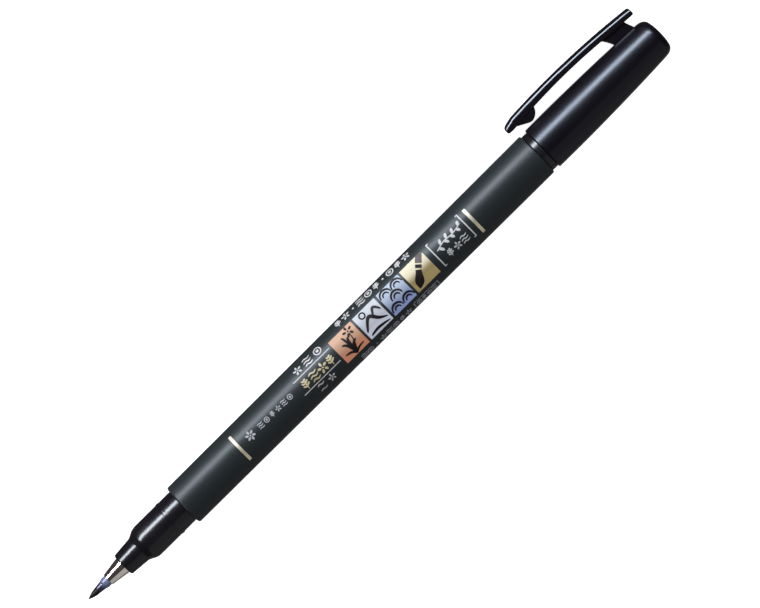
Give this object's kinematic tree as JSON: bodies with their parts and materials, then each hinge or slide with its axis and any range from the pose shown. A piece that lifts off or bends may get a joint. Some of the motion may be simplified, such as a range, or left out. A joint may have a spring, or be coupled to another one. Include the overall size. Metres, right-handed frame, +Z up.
{
  "type": "brush pen",
  "caption": "Slim disposable brush pen lying down, its clipped cap posted on the tail: flexible sheathed brush point, metal ferrule, stepped gloss section and long tapered barrel.",
  "frame": {"origin": "middle of the pen's footprint on the table: halfway along its length and halfway across its box, at table height", "axes": "+X along the pen, from the closed end of the cap towards the brush point; +Z up from the table; the clip is on the -Y side and rests on the table"},
  "size_m": [0.1618, 0.0138, 0.0101],
  "materials": {
    "barrel": "matt soft-grained dark grey-green moulding",
    "section": "glossy black moulding",
    "cap": "semi-gloss blue-black moulding",
    "cap_liner": "natural translucent moulding",
    "plug": "glossy black moulding",
    "ferrule": "polished turned metal",
    "brush_sheath": "blue tinted flexible tube",
    "brush_core": "ink-soaked bonded fibre",
    "bush": "natural white moulding",
    "reservoir": "ink-soaked fibre",
    "film": "clear thin film",
    "gold_foil": "hot-stamped gold foil",
    "copper_foil": "hot-stamped copper foil",
    "steel_foil": "hot-stamped silver-blue foil",
    "blue_foil": "hot-stamped blue foil",
    "pale_ink": "pale pad print",
    "black_ink": "black pad print"
  },
  "bodies": {
    "pen_body": {"barrel": "barrel", "front_section": "section", "ferrule": "ferrule", "nib_bush": "bush", "nib_core_stem": "brush_core", "nib_sheath_stem": "brush_sheath", "ink_reservoir": "reservoir", "reservoir_film": "film", "tail_plug": "plug"},
    "brush_point": {"nib_core_tip": "brush_core", "nib_sheath_tip": "brush_sheath"},
    "cap_liner": {"inner_cap": "cap_liner"},
    "cap": {"cap_shell": "cap", "clip_base": "cap"},
    "clip": {"clip_arm": "cap"}
  },
  "joints": [
    {"name": "nib_flex", "type": "hinge", "parent": "pen_body", "child": "brush_point", "pos_m": [0.0753, 0.00188, 0.00505], "axis": [0, 1, 0], "range_deg": [-12, 12], "stiffness_Nm_per_rad": 0.013},
    {"name": "cap_pull", "type": "slide", "parent": "pen_body", "child": "cap_liner", "axis": [-1, 0, 0], "range_m": [0, 0.04]},
    {"name": "cap_twist", "type": "hinge", "parent": "cap_liner", "child": "cap", "pos_m": [-0.0606, 0.00188, 0.00505], "axis": [-1, 0, 0], "continuous": true},
    {"name": "clip_flex", "type": "hinge", "parent": "cap", "child": "clip", "pos_m": [-0.0707, -0.00627, 0.00125], "axis": [0, 0.4222, -0.9065], "range_deg": [-0.8, 6], "stiffness_Nm_per_rad": 0.8}
  ]
}
